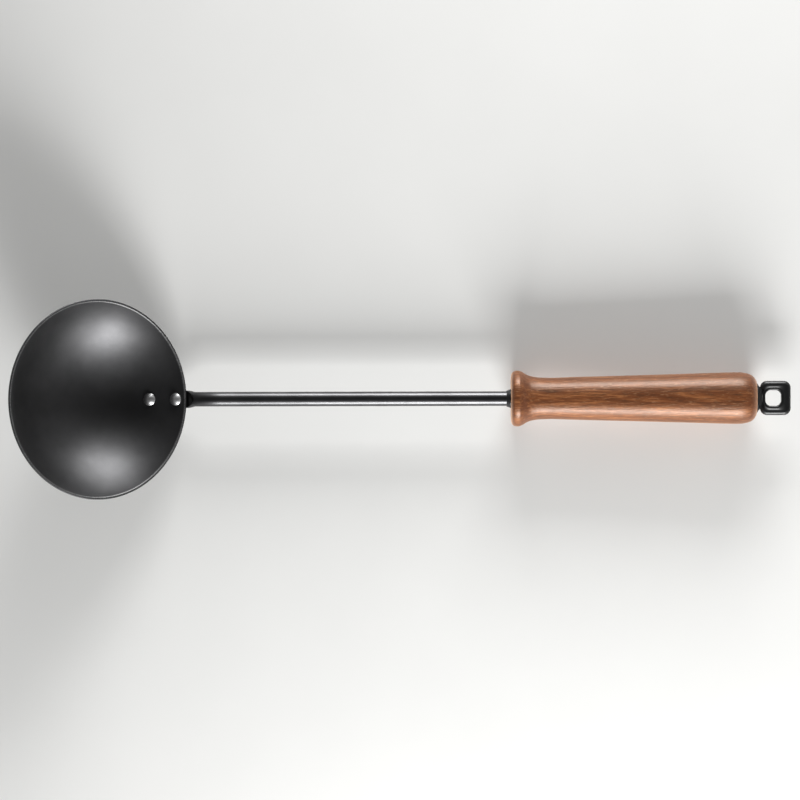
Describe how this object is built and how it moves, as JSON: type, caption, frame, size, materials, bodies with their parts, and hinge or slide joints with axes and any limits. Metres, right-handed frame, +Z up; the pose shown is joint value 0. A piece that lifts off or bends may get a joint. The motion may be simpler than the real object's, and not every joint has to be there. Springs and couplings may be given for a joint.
{
  "type": "wok ladle",
  "caption": "Wok ladle with a round deep steel bowl riveted to a round steel shaft, a turned hardwood grip and a cast loop to hang it by.",
  "frame": {"origin": "on the worktop the ladle lies on, under the middle of its bounding box", "axes": "+X along the shaft from the bowl to the hanging loop, +Z up out of the worktop on the side the bowl opens to, +Y by the right-hand rule"},
  "size_m": [0.4264, 0.1094, 0.0675],
  "materials": {
    "black_steel": "satin",
    "bright_steel": "polished",
    "hardwood": "satin lacquer",
    "black_casting": "gloss"
  },
  "bodies": {
    "root": {"bowl": "black_steel", "shaft": "black_steel", "rivet_inner": "bright_steel", "rivet_outer": "bright_steel", "stop_ring": "black_steel", "grip": "hardwood", "hanging_loop": "black_casting", "loop_stud": "bright_steel"}
  },
  "joints": []
}
